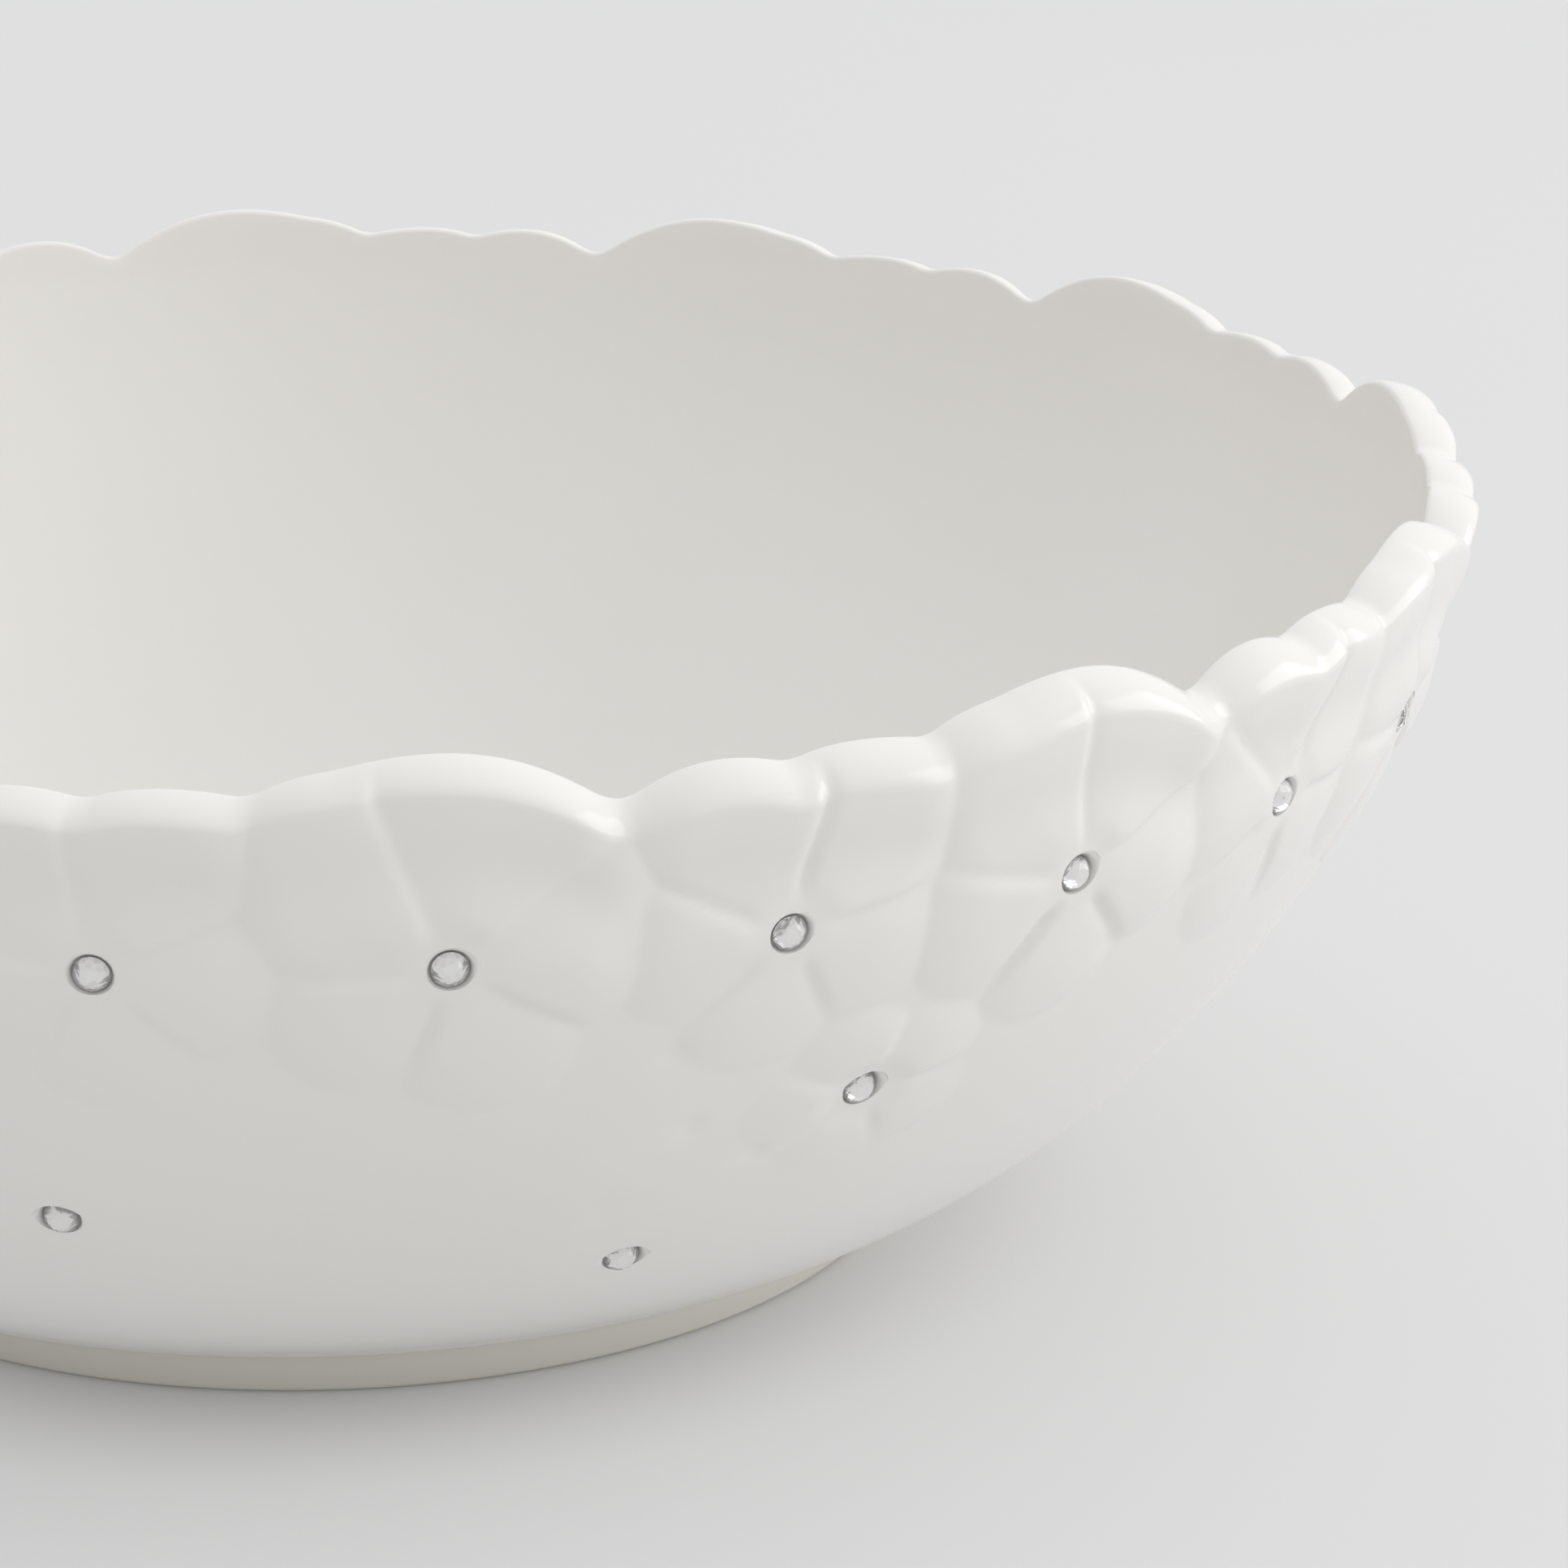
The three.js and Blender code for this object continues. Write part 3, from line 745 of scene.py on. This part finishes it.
def floor_material():
    """Pale paper that glows a little away from the bowl, as painted light; beside the foot it does not
    glow, a painted contact shadow.
    """
    material, tree, shader = new_material("floor_paper")
    colour = tree.mix(tree.uneven(PAPER_CLOUDS), *PAPER_TONES)
    tree.put(shader.inputs["Base Color"], colour)
    tree.put(shader.inputs["Roughness"], PAPER_ROUGHNESS)
    tree.put(shader.inputs["Specular IOR Level"], PAPER_SPECULAR)
    # painted light: the floor glows in its own colour and lights the bowl from below
    glow = tree.add("Emission", {"Color": colour, "Strength": FLOOR_GLOW})
    radius = tree.add("VectorMath", {0: tree.coordinates["Object"]}, operation="LENGTH")
    # painted contact shadow: no glow beside the foot, growing to full glow farther out
    share = tree.map_range(radius.outputs["Value"], GLOW_START, GLOW_FULL, 0, FLOOR_LIFT)
    blend = tree.add("MixShader", {"Fac": share, 1: shader.outputs["BSDF"], 2: glow.outputs["Emission"]})
    tree.put(tree.nodes["Material Output"].inputs["Surface"], blend.outputs["Shader"])
    return material


def make_floor():
    sides = ((-1, -1), (1, -1), (1, 1), (-1, 1))
    corners = [(x * FLOOR_REACH, y * FLOOR_REACH, -FLOOR_DROP) for x, y in sides]
    mesh = bpy.data.meshes.new("floor")
    mesh.from_pydata(corners, [], [(0, 1, 2, 3)])
    mesh.materials.append(floor_material())
    floor = add_object("floor", mesh)


def make_room_light():
    """White room whose light grows along a slope."""
    world = bpy.data.worlds.new("studio")
    bpy.context.scene.world = world
    tree = ShaderTree(world)
    slope = {0: tree.coordinates["Generated"], 1: ROOM_SLOPE}
    towards = tree.add("VectorMath", slope, operation="DOT_PRODUCT")
    strength = tree.add("Math", {0: towards.outputs["Value"], 1: ROOM_LEVEL}, operation="ADD")
    background = tree.nodes["Background"].inputs
    tree.put(background["Color"], (1, 1, 1))
    tree.put(background["Strength"], strength.outputs["Value"])


def make_key_light():
    lamp = bpy.data.lights.new("key", "AREA")
    lamp.shape = "RECTANGLE"
    lamp.size, lamp.size_y = KEY_SIZE
    lamp.energy = KEY_POWER
    key = add_object("key", lamp)
    key.location = KEY_PLACE
    key.rotation_euler = (Vector(KEY_TARGET) - Vector(KEY_PLACE)).to_track_quat("-Z", "Y").to_euler()


def make_camera():
    lens = bpy.data.cameras.new("camera")
    lens.sensor_width = SENSOR_WIDTH
    lens.lens = FOCAL_LENGTH
    camera = add_object("camera", lens)
    camera.location = CAMERA_PLACE
    camera.rotation_euler = (math.radians(CAMERA_TILT), 0, 0)
    bpy.context.scene.camera = camera


crystal_nodes = sorted(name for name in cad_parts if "crystal" in name)
crystal_places = [crystal_frame(node) for node in crystal_nodes]
make_camera()
make_room_light()
make_key_light()
make_floor()
make_body(crystal_places, glaze_material())
make_crystals(crystal_nodes, crystal_places, crystal_material(), foil_material())
bpy.context.scene.view_settings.view_transform = "Standard"
